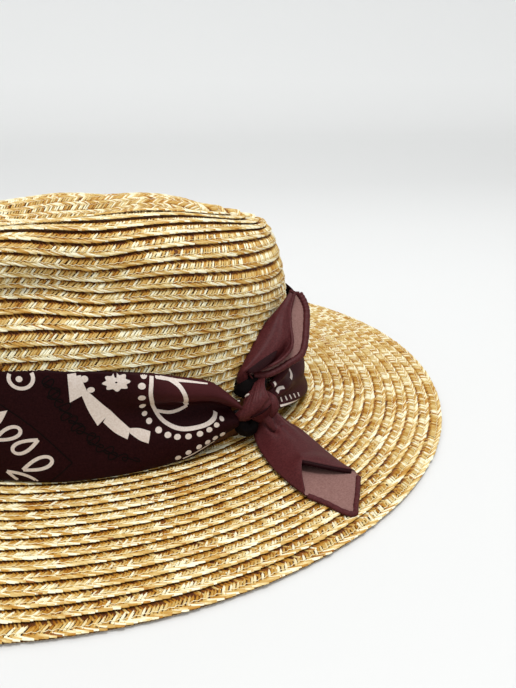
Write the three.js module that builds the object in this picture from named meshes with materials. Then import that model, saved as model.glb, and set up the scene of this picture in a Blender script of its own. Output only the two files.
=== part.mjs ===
// Wide-brimmed fedora of sewn straw braid, with a folded scarf tied round the crown.
// Millimetres, +Z up. X runs along the head and Y across it, and the brim rests on z = 0.
import * as THREE from 'three';
import { mergeVertices } from 'three/addons/utils/BufferGeometryUtils.js';

// Driving dimensions of the straw.
const strawWall = 2.0;
const rowStep = 0.7;            // how far the outer edge of a braid row stands over the next row
const seatGap = 0.3;            // clearance between pieces that touch
const segmentsRound = 48;

// Foot of the crown: an oval of a 58 cm hat, and the outline of the brim.
const crownFoot = { halfWidth: 82, spread: 24.4, shiftX: -6 };
const brimEdge = { halfWidth: 161.6, spread: 19.4, shiftX: 0 };
const brimThickness = 2.0;
const brimRowPitch = 5.34;
const brimEdgeRow = 7.0;
const brimRowCount = 13;

// Side profile of the crown before it is dented. The shoulder is broad on the sides of the head
// and steep at the front and back.
const crownHeight = 104.5;
const crownTaper = 0.035;
const crownRowPitch = 5.73;
const steppedRowCount = 22;
const plainTopRings = 8;
const insideRings = 12;
const shoulderRise = { side: 24, end: 39 };
const shoulderRun = { side: 37, end: 11 };
const endFall = { depth: 14, at: 80, fromZ: 25, overZ: 70 };
const farSideFall = { depth: 8.5, overY: 40, fromZ: 40, overZ: 50 };

// Teardrop dent along the top, wide at the back, and the pinch in each side of it.
const dent = { depth: 29, halfWidth: 58, centreX: 14, halfLength: 80, narrowing: 0.72, fullness: 2.5 };
const pinch = { push: 2.3, sink: 5.8, x: 14, spreadX: 22, z: 85, spreadZ: 18, fromY: 15, overY: 30 };

// The scarf: a band of folded cloth, a knot at the front corner and two short tails.
const clothWall = 1.4;
const bandWall = 2.0;
const bandClear = 0.5;
const knot = { x: 75, y: -70.5, z: 20.5, along: 10.5, tall: 9.5, deep: 8.4, facing: -48, lean: -28 };

// Height and lift of the band, a row for each station round the crown in degrees.
// low and high are its two edges, lift is its distance off the straw, pleat the depth of its folds.
const bandStations = [
  { angle: -54.1, low: 13.5, high: 25.5, lift: 7.2, pleat: 0.9 },
  { angle: -59, low: 8.5, high: 32, lift: 3.6, pleat: 1.0 },
  { angle: -65, low: 5.0, high: 40, lift: 1.6, pleat: 0.7 },
  { angle: -74, low: 3.6, high: 46, lift: 0.6, pleat: 0.35 },
  { angle: -88, low: 3.2, high: 51, lift: 0.2, pleat: 0.15 },
  { angle: -104, low: 3.2, high: 52.5, lift: 0.2, pleat: 0.15 },
  { angle: -180, low: 3.2, high: 51, lift: 0.4, pleat: 0.3 },
  { angle: -270, low: 3.2, high: 50, lift: 0.2, pleat: 0.15 },
  { angle: -345, low: 3.2, high: 52, lift: 0.8, pleat: 0.3 },
  { angle: -366, low: 3.4, high: 52, lift: 3.0, pleat: 0.6 },
  { angle: -382, low: 3.6, high: 42, lift: 5.0, pleat: 0.9 },
  { angle: -394, low: 6.5, high: 31, lift: 5.6, pleat: 1.0 },
  { angle: -402.1, low: 13.0, high: 25.5, lift: 6.6, pleat: 0.9 },
];

// Tails of the knot, each a flattened tube of folded cloth that is open at its end.
// wide runs along the turned axis, thick across it, and turn is measured about the tail's run.
const upperTailStations = [
  { x: 80.6, y: -68.6, z: 29.6, wide: 9, thick: 5.0, turn: 20 },
  { x: 87.5, y: -60.5, z: 38.5, wide: 17, thick: 6.0, turn: 20 },
  { x: 93.0, y: -52.0, z: 46.0, wide: 22, thick: 6.5, turn: 15 },
  { x: 98.0, y: -44.5, z: 54.0, wide: 20, thick: 6.0, turn: 10 },
  { x: 101.5, y: -39.5, z: 61.0, wide: 14, thick: 5.0, turn: 5 },
];
const lowerTailStations = [
  { x: 78.6, y: -75.2, z: 12.4, wide: 10, thick: 6.0, turn: 0 },
  { x: 81.5, y: -82.5, z: 7.8, wide: 15, thick: 6.5, turn: 0 },
  { x: 86.0, y: -93.0, z: 5.9, wide: 20, thick: 6.6, turn: 0 },
  { x: 91.0, y: -103.5, z: 5.5, wide: 23, thick: 6.4, turn: 0 },
  { x: 97.0, y: -116.0, z: 5.2, wide: 24, thick: 5.8, turn: 0 },
];
const tailSides = 10;

const strawFinish = { color: 0xd8b676, roughness: 0.75, metalness: 0 };
const scarfFinish = { color: 0x46202a, roughness: 0.5, metalness: 0 };

const { lerp, degToRad, clamp, smoothstep } = THREE.MathUtils;

// A point of the hat's oval at one angle. The oval is a circle of the half width, spread along X.
function ovalPoint(angle, halfWidth, spread, shiftX) {
  const c = Math.cos(angle);
  const x = shiftX + spread * c * (1.25 - 0.25 * c * c) + halfWidth * c;
  return new THREE.Vector2(x, halfWidth * Math.sin(angle));
}

// A body between two skins, each a grid of points [round][across].
// A sheet that closes round joins its last column to its first, and its skins may differ in their
// number of rows. meetsAtTip leaves out the wall at the last row, where each skin folds onto
// itself along a line.
function thickSheet(outside, inside, { closesRound, meetsAtTip = false }) {
  const columns = outside.length;
  const outRows = outside[0].length;
  const inRows = inside[0].length;
  const points = [...outside.flat(), ...inside.flat()];
  const out = (i, j) => (i % columns) * outRows + j;
  const inn = (i, j) => columns * outRows + (i % columns) * inRows + j;
  const triangles = [];
  const quad = (a, b, c, d) => triangles.push(a, b, c, a, c, d);
  const lastColumn = closesRound ? columns : columns - 1;
  for (let i = 0; i < lastColumn; i += 1) {
    for (let j = 0; j < outRows - 1; j += 1) {
      quad(out(i, j), out(i + 1, j), out(i + 1, j + 1), out(i, j + 1));
    }
    for (let j = 0; j < inRows - 1; j += 1) {
      quad(inn(i, j), inn(i, j + 1), inn(i + 1, j + 1), inn(i + 1, j));
    }
    quad(inn(i, 0), inn(i + 1, 0), out(i + 1, 0), out(i, 0));
    if (!meetsAtTip) {
      quad(out(i, outRows - 1), out(i + 1, outRows - 1), inn(i + 1, inRows - 1), inn(i, inRows - 1));
    }
  }
  if (!closesRound) {
    const i = columns - 1;
    for (let j = 0; j < outRows - 1; j += 1) {
      quad(out(0, j), out(0, j + 1), inn(0, j + 1), inn(0, j));
      quad(out(i, j + 1), out(i, j), inn(i, j), inn(i, j + 1));
    }
  }
  const geometry = new THREE.BufferGeometry();
  geometry.setAttribute('position', new THREE.Float32BufferAttribute(points.flatMap((p) => p.toArray()), 3));
  geometry.setIndex(triangles);
  return facingOut(mergeVertices(geometry, 0.002));
}

// Turns the faces over when they enclose a negative volume.
function facingOut(geometry) {
  const position = geometry.getAttribute('position');
  const index = geometry.getIndex();
  const corner = (k) => new THREE.Vector3().fromBufferAttribute(position, index.getX(k));
  let volume = 0;
  for (let k = 0; k < index.count; k += 3) {
    volume += corner(k).dot(corner(k + 1).cross(corner(k + 2)));
  }
  if (volume < 0) {
    for (let k = 0; k < index.count; k += 3) {
      const first = index.getX(k);
      index.setX(k, index.getX(k + 1));
      index.setX(k + 1, first);
    }
  }
  return geometry;
}

// The crown's side profile at one angle: a leaning wall, then a quarter ellipse for the shoulder.
function crownProfile(angle) {
  const endness = Math.cos(angle) ** 2;
  const rise = lerp(shoulderRise.side, shoulderRise.end, endness);
  const inRun = lerp(shoulderRun.side, shoulderRun.end, endness);
  const wallTop = crownHeight - rise;
  const wallInset = crownTaper * wallTop;
  const wallLength = Math.hypot(wallTop, wallInset);
  const flattening = ((rise - inRun) / (rise + inRun)) ** 2;
  const shoulderLength = (Math.PI / 4) * (rise + inRun) * (1 + flattening / 4);
  return { rise, inRun, wallTop, wallInset, wallLength, shoulderLength };
}

// A point of the crown's outer face: angle round the head, run up the side from the foot.
function crownSurface(angle, run) {
  const { rise, inRun, wallTop, wallInset, wallLength, shoulderLength } = crownProfile(angle);
  let inset = (run / wallLength) * wallInset;
  let z = (run / wallLength) * wallTop;
  if (run > wallLength) {
    const turn = (clamp((run - wallLength) / shoulderLength, 0, 1) * Math.PI) / 2;
    inset = wallInset + inRun * (1 - Math.cos(turn));
    z = wallTop + rise * Math.sin(turn);
  }
  inset += Math.max(run - wallLength - shoulderLength, 0);
  const halfWidth = Math.max(crownFoot.halfWidth - inset, 0);
  const flat = ovalPoint(angle, halfWidth, crownFoot.spread, 0);
  return dented(flat.x, flat.y, z);
}

// Where the crown's face closes on its centre line, as a run up the side.
function crownRunToTip(angle) {
  const { inRun, wallInset, wallLength, shoulderLength } = crownProfile(angle);
  return wallLength + shoulderLength + crownFoot.halfWidth - wallInset - inRun;
}

// The plain blocked form is lowered at its ends, on its far side, in the dent and at the pinches.
function dented(x, y, plainZ) {
  let z = plainZ;
  z -= endFall.depth * (x / endFall.at) ** 2 * smoothstep(plainZ, endFall.fromZ, endFall.fromZ + endFall.overZ);
  z -= farSideFall.depth * smoothstep(y, 0, farSideFall.overY)
    * smoothstep(z, farSideFall.fromZ, farSideFall.fromZ + farSideFall.overZ);

  const along = clamp(Math.abs(x - dent.centreX) / dent.halfLength, 0, 1);
  const taper = clamp(1 - (dent.narrowing * (x - dent.centreX)) / dent.halfLength, 0.2, 3);
  const halfWidth = dent.halfWidth * Math.sqrt(1 - along ** dent.fullness) * taper + 1e-6;
  const across = clamp(Math.abs(y) / halfWidth, 0, 1);
  const dentShare = ((Math.cos(Math.PI * across) + 1) / 2) * (1 - along * along);

  const pinchShare = Math.exp(-(((x - pinch.x) / pinch.spreadX) ** 2))
    * Math.exp(-(((z - pinch.z) / pinch.spreadZ) ** 2))
    * smoothstep(Math.abs(y), pinch.fromY, pinch.fromY + pinch.overY);
  z -= dent.depth * dentShare + pinch.sink * pinchShare;
  const pinchedY = y - Math.sign(y) * pinch.push * pinchShare;
  return new THREE.Vector3(x + crownFoot.shiftX, pinchedY, z + brimThickness + seatGap);
}

// The outward direction of the crown's face, from two short steps across it.
function crownNormal(angle, run) {
  const step = 0.02;
  const reach = crownRunToTip(angle);
  const from = clamp(run, 0.5, reach - 1.5);
  const across = crownSurface(angle + step, from).sub(crownSurface(angle - step, from));
  const up = crownSurface(angle, from + 0.5).sub(crownSurface(angle, from - 0.5));
  return across.cross(up).normalize();
}

function offCrown(angle, run, distance) {
  return crownSurface(angle, run).addScaledVector(crownNormal(angle, run), distance);
}

const roundAngles = Array.from({ length: segmentsRound }, (_, i) => (2 * Math.PI * i) / segmentsRound);

// The crown: rows of braid that step outward at their lower edges, a plainer top, a smooth lining face.
function crownGeometry() {
  const rowShare = crownRowPitch / crownRunToTip(Math.PI / 2);
  const outside = roundAngles.map((angle) => {
    const reach = crownRunToTip(angle);
    const rowRun = rowShare * reach;
    const column = [];
    for (let row = 0; row < steppedRowCount; row += 1) {
      column.push(offCrown(angle, row * rowRun, rowStep));
      column.push(offCrown(angle, (row + 0.94) * rowRun, 0));
    }
    for (let ring = 0; ring < plainTopRings; ring += 1) {
      const run = lerp(steppedRowCount * rowRun, reach, ring / plainTopRings);
      column.push(offCrown(angle, run, ring === 0 ? rowStep : 0));
    }
    column.push(crownSurface(angle, reach));
    return column;
  });
  const inside = roundAngles.map((angle) => {
    const reach = crownRunToTip(angle);
    const column = [];
    for (let ring = 0; ring < insideRings; ring += 1) {
      column.push(offCrown(angle, (reach * ring) / insideRings, -strawWall));
    }
    column.push(crownSurface(angle, reach).add(new THREE.Vector3(0, 0, -strawWall)));
    return column;
  });
  for (const column of [...outside, ...inside]) {
    column[0].z = brimThickness + seatGap;
  }
  return thickSheet(outside, inside, { closesRound: true, meetsAtTip: true });
}

// A point over the brim at one angle, at a half width between the crown's foot and the edge.
function brimPoint(angle, halfWidth, z) {
  const out = (halfWidth - crownFoot.halfWidth) / (brimEdge.halfWidth - crownFoot.halfWidth);
  const spread = lerp(crownFoot.spread, brimEdge.spread, out);
  const shiftX = lerp(crownFoot.shiftX, brimEdge.shiftX, out);
  const flat = ovalPoint(angle, halfWidth, spread, shiftX);
  return new THREE.Vector3(flat.x, flat.y, z);
}

// The brim: rows of braid that rise outward and step down at each seam, flat underneath.
function brimGeometry() {
  const profile = [{ halfWidth: crownFoot.halfWidth - strawWall, z: brimThickness - rowStep }];
  for (let row = brimRowCount; row >= 0; row -= 1) {
    const seam = brimEdge.halfWidth - brimEdgeRow - row * brimRowPitch;
    profile.push({ halfWidth: seam - 0.3, z: brimThickness });
    profile.push({ halfWidth: seam, z: brimThickness - rowStep });
  }
  profile.push({ halfWidth: brimEdge.halfWidth - 0.6, z: brimThickness });
  profile.push({ halfWidth: brimEdge.halfWidth, z: brimThickness - rowStep });
  const top = roundAngles.map((angle) => profile.map((p) => brimPoint(angle, p.halfWidth, p.z)));
  const underside = roundAngles.map((angle) => [
    brimPoint(angle, profile[0].halfWidth, 0),
    brimPoint(angle, brimEdge.halfWidth, 0),
  ]);
  return thickSheet(top, underside, { closesRound: true });
}

// Reads one column of a station table at a place between its rows, along a smooth curve.
function tableValue(stations, key, place) {
  const last = stations.length - 1;
  const i = clamp(Math.floor(place), 0, last - 1);
  const t = clamp(place - i, 0, 1);
  const [before, from, to, after] = [i - 1, i, i + 1, i + 2].map((k) => stations[clamp(k, 0, last)][key]);
  const slopeFrom = (to - before) / 2;
  const slopeTo = (after - from) / 2;
  const t2 = t * t;
  const t3 = t2 * t;
  return (2 * t3 - 3 * t2 + 1) * from + (t3 - 2 * t2 + t) * slopeFrom
    + (3 * t2 - 2 * t3) * to + (t3 - t2) * slopeTo;
}

// The band: a strip of folded cloth round the crown whose two ends gather into the knot.
function bandGeometry() {
  const stepsBetween = [2, 2, 2, 3, 3, 9, 9, 8, 4, 3, 3, 2];
  const ribs = 6;
  const places = stepsBetween.flatMap((steps, i) => (
    Array.from({ length: steps }, (_, k) => i + k / steps)));
  places.push(bandStations.length - 1);
  const skin = (isOuter) => places.map((place) => {
    const [angleDegrees, low, high, lift, pleat] = ['angle', 'low', 'high', 'lift', 'pleat']
      .map((key) => tableValue(bandStations, key, place));
    const angle = degToRad(angleDegrees);
    const foot = brimThickness + seatGap;
    return Array.from({ length: ribs + 1 }, (_, j) => {
      const share = j / ribs;
      const run = lerp(low, high, share) - foot;
      const crease = pleat * Math.cos(share * Math.PI * 4);
      const off = rowStep + bandClear + lift + pleat + (isOuter ? bandWall + crease : 0);
      const point = offCrown(angle, run, off);
      point.z = lerp(low, high, share);
      return point;
    });
  });
  return thickSheet(skin(true), skin(false), { closesRound: false });
}

// The knot: one turn of cloth pulled tight over the ends of the band, with soft grooves along its wrap.
function knotGeometry() {
  const geometry = new THREE.SphereGeometry(1, 16, 10);
  geometry.deleteAttribute('normal');
  geometry.deleteAttribute('uv');
  const position = geometry.getAttribute('position');
  for (let k = 0; k < position.count; k += 1) {
    const p = new THREE.Vector3().fromBufferAttribute(position, k);
    const groove = 1 - 0.05 * (1 + Math.cos(p.x * 9)) * (1 - p.y * p.y);
    position.setXYZ(k, p.x * knot.along * groove, p.y * knot.tall * groove, p.z * knot.deep * groove);
  }
  return mergeVertices(geometry, 0.002);
}

// A tail: a flattened tube that runs through its stations and is open at both ends.
function tailGeometry(stations) {
  const path = new THREE.CatmullRomCurve3(stations.map((s) => new THREE.Vector3(s.x, s.y, s.z)));
  const steps = 8;
  const skin = (inset) => Array.from({ length: tailSides }, (_, k) => {
    const around = (2 * Math.PI * k) / tailSides;
    return Array.from({ length: steps + 1 }, (__, i) => {
      const share = i / steps;
      const place = share * (stations.length - 1);
      const run = path.getTangent(share);
      const level = new THREE.Vector3(0, 0, 1).cross(run).normalize();
      const turn = degToRad(tableValue(stations, 'turn', place));
      const wideAxis = level.clone().applyAxisAngle(run, turn);
      const thickAxis = new THREE.Vector3().crossVectors(run, wideAxis);
      const wide = tableValue(stations, 'wide', place) / 2 - inset;
      const thick = tableValue(stations, 'thick', place) / 2 - inset;
      return path.getPoint(share)
        .addScaledVector(wideAxis, wide * Math.cos(around))
        .addScaledVector(thickAxis, thick * Math.sin(around));
    });
  });
  return thickSheet(skin(0), skin(clothWall), { closesRound: true });
}

function piece(name, geometry, finish) {
  const mesh = new THREE.Mesh(geometry, new THREE.MeshStandardMaterial(finish));
  mesh.name = name;
  return mesh;
}

const hat = new THREE.Group();
hat.add(piece('straw_crown', crownGeometry(), strawFinish));
hat.add(piece('straw_brim', brimGeometry(), strawFinish));

const scarf = new THREE.Group();
scarf.add(piece('scarf_band', bandGeometry(), scarfFinish));
const knotMesh = piece('scarf_knot', knotGeometry(), scarfFinish);
knotMesh.position.set(knot.x, knot.y, knot.z);
knotMesh.rotation.set(degToRad(90), 0, 0);
knotMesh.rotateY(degToRad(knot.facing + 90));
knotMesh.rotateZ(degToRad(knot.lean));
scarf.add(knotMesh);
scarf.add(piece('scarf_tail_upper', tailGeometry(upperTailStations), scarfFinish));
scarf.add(piece('scarf_tail_lower', tailGeometry(lowerTailStations), scarfFinish));
hat.add(scarf);

export default hat;
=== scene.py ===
import math

import bpy
import numpy as np
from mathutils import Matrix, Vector


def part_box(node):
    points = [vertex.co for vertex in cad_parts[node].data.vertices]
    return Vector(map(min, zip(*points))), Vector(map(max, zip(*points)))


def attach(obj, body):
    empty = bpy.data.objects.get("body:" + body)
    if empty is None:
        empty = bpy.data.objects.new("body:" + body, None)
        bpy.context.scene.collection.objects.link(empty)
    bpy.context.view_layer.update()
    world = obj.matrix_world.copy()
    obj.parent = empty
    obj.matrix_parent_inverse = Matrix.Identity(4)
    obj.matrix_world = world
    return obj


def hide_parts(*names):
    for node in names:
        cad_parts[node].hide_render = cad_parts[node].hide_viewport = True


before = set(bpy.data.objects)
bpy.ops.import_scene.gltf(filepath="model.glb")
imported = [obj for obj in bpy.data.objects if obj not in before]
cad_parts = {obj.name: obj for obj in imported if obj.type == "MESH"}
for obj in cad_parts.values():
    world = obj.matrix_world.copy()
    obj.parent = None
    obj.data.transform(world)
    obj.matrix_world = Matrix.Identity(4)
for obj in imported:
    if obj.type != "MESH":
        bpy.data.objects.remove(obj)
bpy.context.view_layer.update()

# Straw fedora with a knotted scarf band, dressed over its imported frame.
# Lengths below are millimetres until a mesh is made, angles are radians unless a name says degrees.
mm = 0.001
fullTurn = 2 * math.pi
rng = np.random.default_rng(11)
brimLow, brimHigh = (np.array(corner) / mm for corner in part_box("straw_brim"))

# forms shared with the frame
crown = {
    "halfWidth": 82.0,          # foot of the crown across the head
    "spread": 24.4,             # how much longer the oval is than wide, on each side
    "shiftX": -6.0,
    "height": 104.5,
    "taper": 0.035,
    "riseSide": 24.0, "riseEnd": 39.0,      # height of the shoulder, at the sides and at the ends
    "runSide": 37.0, "runEnd": 11.0,        # how far in the shoulder reaches
    "endFall": 14.0, "endReach": 80.0, "endHigh": (25, 70),     # the top sinks towards its ends
    "farFall": 8.5, "farReach": 40.0, "farHigh": (40, 50),      # and towards its far side
    "baseZ": 2.3,
    "rowPitch": 5.73,
    "evenRows": 20.0,           # rows of even pitch before they close on the tip
    "seam": 9.4,                # rows from the foot to the seam where the spiral's angle is a quarter back
}
dent = {"depth": 29.0, "halfWidth": 58.0, "centreX": 14.0, "halfLength": 80.0,
        "narrowing": 0.72, "narrowLimits": (0.2, 3), "fullness": 2.5}
pinch = {"push": 2.3, "sink": 5.8, "x": 14.0, "spreadX": 22.0, "z": 85.0, "spreadZ": 18.0,
         "fromY": 15.0, "overY": 30.0, "farShare": 0.78}
# the fold under the near pinch
fold = {"push": 10.5, "x": -2.0, "spreadX": 34.0, "z": 78.0, "spreadZ": 13.0, "fromY": 25.0, "overY": 20.0}
brim = {
    "halfWidth": (brimHigh[1] - brimLow[1]) / 2,
    "spread": (brimHigh[0] - brimLow[0]) / 2 - (brimHigh[1] - brimLow[1]) / 2,
    "rowPitch": 5.34,
    "edgeRow": 7.0,
    "seamAt": -1.5245,          # the angle at which the edge row is exactly edgeRow wide
    "braidEnd": 2.967,          # the angle at which the braid runs out
    "endTaper": 0.35,           # the angle over which it narrows to that end
    "waver": [(0.18, 2.3, 0.0), (0.12, 5.1, 1.0)],      # size, rate and phase of the seam's wavering
}


def smooth(t):
    t = np.clip(t, 0, 1)
    return t * t * (3 - 2 * t)


def rising(value, start, span):
    return smooth((value - start) / span)


def falling(value, end, span):
    # down to nothing at the end, over the span before it
    return smooth((end - value) / span)


def mix(a, b, t):
    return a + (b - a) * t


def unit(v):
    return v / np.maximum(np.linalg.norm(v, axis=-1, keepdims=True), 1e-9)


def oval(phi, half, spread, shiftX=0.0):
    c = np.cos(phi)
    return shiftX + spread * c * (1.25 - 0.25 * c * c) + half * c, half * np.sin(phi)


def crownProfile(phi):
    endness = np.cos(phi) ** 2
    rise = mix(crown["riseSide"], crown["riseEnd"], endness)
    inRun = mix(crown["runSide"], crown["runEnd"], endness)
    wallTop = crown["height"] - rise
    wallIn = crown["taper"] * wallTop
    wallLength = np.hypot(wallTop, wallIn)
    flattening = ((rise - inRun) / (rise + inRun)) ** 2
    shoulder = math.pi / 4 * (rise + inRun) * (1 + flattening / 4)
    return rise, inRun, wallTop, wallIn, wallLength, shoulder


def crownReach(phi):
    inRun, _, wallIn, wallLength, shoulder = crownProfile(phi)[1:]
    return wallLength + shoulder + crown["halfWidth"] - wallIn - inRun


def crownPlain(phi, run):
    # the dented form of the crown's outer face, run measured up the side from the foot
    rise, inRun, wallTop, wallIn, wallLength, shoulder = crownProfile(phi)
    turn = np.clip((run - wallLength) / shoulder, 0, 1) * math.pi / 2
    onWall = run < wallLength
    inset = np.where(onWall, run / wallLength * wallIn, wallIn + inRun * (1 - np.cos(turn)))
    z = np.where(onWall, run / wallLength * wallTop, wallTop + rise * np.sin(turn))
    inset = inset + np.maximum(run - wallLength - shoulder, 0)
    half = np.maximum(crown["halfWidth"] - inset, 0)
    x, y = oval(phi, half, crown["spread"])
    z = z - crown["endFall"] * (x / crown["endReach"]) ** 2 * rising(z, *crown["endHigh"])
    z = z - crown["farFall"] * smooth(y / crown["farReach"]) * rising(z, *crown["farHigh"])
    along = np.clip(np.abs(x - dent["centreX"]) / dent["halfLength"], 0, 1)
    taper = 1 - dent["narrowing"] * (x - dent["centreX"]) / dent["halfLength"]
    taper = np.clip(taper, *dent["narrowLimits"])
    width = dent["halfWidth"] * np.sqrt(1 - along ** dent["fullness"]) * taper + 1e-6
    share = (np.cos(math.pi * np.clip(np.abs(y) / width, 0, 1)) + 1) / 2 * (1 - along * along)
    near = np.exp(-((x - pinch["x"]) / pinch["spreadX"]) ** 2)
    near = near * np.exp(-((z - pinch["z"]) / pinch["spreadZ"]) ** 2)
    near = near * rising(np.abs(y), pinch["fromY"], pinch["overY"])
    near = near * mix(1, pinch["farShare"], smooth(y / pinch["overY"]))
    z = z - dent["depth"] * share - pinch["sink"] * near
    crease = np.exp(-((x - fold["x"]) / fold["spreadX"]) ** 2 - ((z - fold["z"]) / fold["spreadZ"]) ** 2)
    crease = crease * rising(-y, fold["fromY"], fold["overY"])
    y = y - np.sign(y) * pinch["push"] * near + fold["push"] * crease
    return np.stack([x + crown["shiftX"], y, z + crown["baseZ"]], -1)


def offCrown(phi, run, distance):
    # a point at a distance straight out from the crown's face
    step = 0.02
    held = np.clip(run, 0.5, crownReach(phi) - 1.5)
    across = crownPlain(phi + step, held) - crownPlain(phi - step, held)
    up = crownPlain(phi, held + 0.5) - crownPlain(phi, held - 0.5)
    out = unit(np.cross(across, up))
    return crownPlain(phi, run) + out * np.asarray(distance)[..., None]


def crownRunAt(phi, row):
    # rows are even up the side and close together on the tip
    even = crown["evenRows"] * crown["rowPitch"]
    reach = crownReach(phi)
    last = crownReach(np.array(math.pi / 2)) / crown["rowPitch"]
    top = even + (row - crown["evenRows"]) / (last - crown["evenRows"]) * (reach - even)
    return np.where(row < crown["evenRows"], row * crown["rowPitch"], top)


def brimPoint(phi, inFromEdge, z):
    half = brim["halfWidth"] - inFromEdge
    out = (half - crown["halfWidth"]) / (brim["halfWidth"] - crown["halfWidth"])
    spread = mix(crown["spread"], brim["spread"], out)
    x, y = oval(phi, half, spread, mix(crown["shiftX"], 0.0, out))
    return np.stack(np.broadcast_arrays(x, y, z), -1)


def tableCurve(table, place):
    # smooth curve through the rows of a table, place counts rows
    table = np.array(table, dtype=float)
    last = len(table) - 1
    place = np.clip(np.asarray(place, dtype=float), 0, last)
    i = np.clip(np.floor(place).astype(int), 0, last - 1)
    t = (place - i)[..., None]
    before, start, end, after = (table[np.clip(i + k, 0, last)] for k in (-1, 0, 1, 2))
    slopeStart, slopeEnd = (end - before) / 2, (after - start) / 2
    return ((2 * t ** 3 - 3 * t ** 2 + 1) * start + (t ** 3 - 2 * t ** 2 + t) * slopeStart
            + (3 * t ** 2 - 2 * t ** 3) * end + (t ** 3 - t ** 2) * slopeEnd)


def curveLine(points, steps=40):
    return tableCurve(points, np.linspace(0, len(points) - 1, steps))


# mesh helpers
def gridQuads(rows, columns, closed=False, start=0):
    # faces of a grid of points [row][column], closed joins the last row to the first
    i = np.arange(rows if closed else rows - 1)[:, None]
    j = np.arange(columns - 1)[None, :]
    a = i * columns + j
    b = ((i + 1) % rows) * columns + j
    return start + np.stack([a, b, b + 1, a + 1], -1).reshape(-1, 4)


def strandQuads(count, stations, ring):
    # faces of many open strands, each with its own stations and an open half ring
    i = np.arange(stations - 1)[:, None]
    j = np.arange(ring - 1)[None, :]
    a = i * ring + j
    one = np.stack([a, a + 1, a + ring + 1, a + ring], -1).reshape(-1, 4)
    offset = np.arange(count)[:, None, None] * (stations * ring)
    return (one[None] + offset).reshape(-1, 4)


def slabQuads(rows, columns, closed):
    # faces of two skins of one grid, the second skin's points after the first's, and of their rims
    size = rows * columns
    rims = []
    i = np.arange(rows if closed else rows - 1)
    for column in (0, columns - 1):
        a, b = i * columns + column, ((i + 1) % rows) * columns + column
        strip = np.stack([a, a + size, b + size, b], -1)
        rims.append(strip if column == 0 else strip[:, ::-1])
    if not closed:
        j = np.arange(columns - 1)
        for row in (0, rows - 1):
            a, b = row * columns + j, row * columns + j + 1
            strip = np.stack([a, b, b + size, a + size], -1)
            rims.append(strip if row == 0 else strip[:, ::-1])
    face = gridQuads(rows, columns, closed)
    back = gridQuads(rows, columns, closed, size)[:, ::-1]
    return face, back, np.concatenate(rims)


def addObject(name, data):
    thing = bpy.data.objects.new(name, data)
    bpy.context.scene.collection.objects.link(thing)
    return thing


def meshFrom(name, points, quads, material, tone=None, uv=None):
    mesh = bpy.data.meshes.new(name)
    points = np.ascontiguousarray(points.reshape(-1, 3) * mm, dtype=np.float32)
    quads = np.ascontiguousarray(quads.reshape(-1, 4), dtype=np.int32)
    mesh.vertices.add(len(points))
    mesh.vertices.foreach_set("co", points.ravel())
    mesh.loops.add(quads.size)
    mesh.loops.foreach_set("vertex_index", quads.ravel())
    mesh.polygons.add(len(quads))
    mesh.polygons.foreach_set("loop_start", np.arange(0, quads.size, 4, dtype=np.int32))
    mesh.polygons.foreach_set("use_smooth", np.ones(len(quads), dtype=bool))
    if tone is not None:
        layer = mesh.attributes.new("tone", "FLOAT", "POINT")
        layer.data.foreach_set("value", np.asarray(tone, dtype=np.float32).ravel())
    if uv is not None:
        layer = mesh.uv_layers.new(name="UVMap")
        flat = np.asarray(uv, dtype=np.float32).reshape(-1, 2)[quads.ravel()]
        layer.data.foreach_set("uv", flat.ravel())
    mesh.update(calc_edges=True)
    mesh.validate()
    mesh.materials.append(material)
    return addObject(name, mesh)


def slabPiece(name, outer, inner, faceMaterial, backMaterial=None, backRims=False, closed=False,
              tone=None, uv=None):
    # two skins and their rims, the back and, if asked, the rims in a material of their own
    face, back, rims = slabQuads(*outer.shape[:2], closed)
    points = np.concatenate([outer.reshape(-1, 3), inner.reshape(-1, 3)])
    piece = meshFrom(name, points, np.concatenate([face, back, rims]), faceMaterial, tone, uv)
    if backMaterial:
        piece.data.materials.append(backMaterial)
        index = np.zeros(len(piece.data.polygons), dtype=np.int32)
        index[len(face):len(index) if backRims else len(face) + len(back)] = 1
        piece.data.polygons.foreach_set("material_index", index)
    return piece


def dress(piece, replaced=()):
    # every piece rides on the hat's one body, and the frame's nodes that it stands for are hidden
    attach(piece, "root")
    if replaced:
        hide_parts(*replaced)
    print(piece.name, len(piece.data.polygons), "faces")
    return piece


# materials
def addNode(nodes, kind, values=None):
    node = nodes.new("ShaderNode" + kind)
    for name, value in (values or {}).items():
        node.inputs[name].default_value = value
    return node


def rampNode(nodes, stops):
    # a colour ramp through rows of position and colour
    ramp = addNode(nodes, "ValToRGB")
    row = ramp.color_ramp.elements
    for k in (0, -1):
        row[k].position = stops[k][0]
        row[k].color = (*stops[k][1], 1)
    for position, colour in stops[1:-1]:
        row.new(position).color = (*colour, 1)
    return ramp


def wire(tree, *rows):
    # each row is a node, its output, the next node and its input
    for source, output, target, socket in rows:
        tree.links.new(source.outputs[output], target.inputs[socket])


def toneNode(nodes):
    tone = addNode(nodes, "Attribute")
    tone.attribute_name = "tone"
    return tone


def uvNode(nodes):
    uv = addNode(nodes, "UVMap")
    uv.uv_map = "UVMap"
    return uv


def newMaterial(name, roughness, specular=0.5):
    material = bpy.data.materials.new(name)
    material.use_nodes = True
    nodes = material.node_tree.nodes
    nodes.clear()
    output = addNode(nodes, "OutputMaterial")
    shader = addNode(nodes, "BsdfPrincipled", {"Roughness": roughness, "Specular IOR Level": specular})
    wire(material.node_tree, (shader, "BSDF", output, "Surface"))
    return material, nodes, shader


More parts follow.
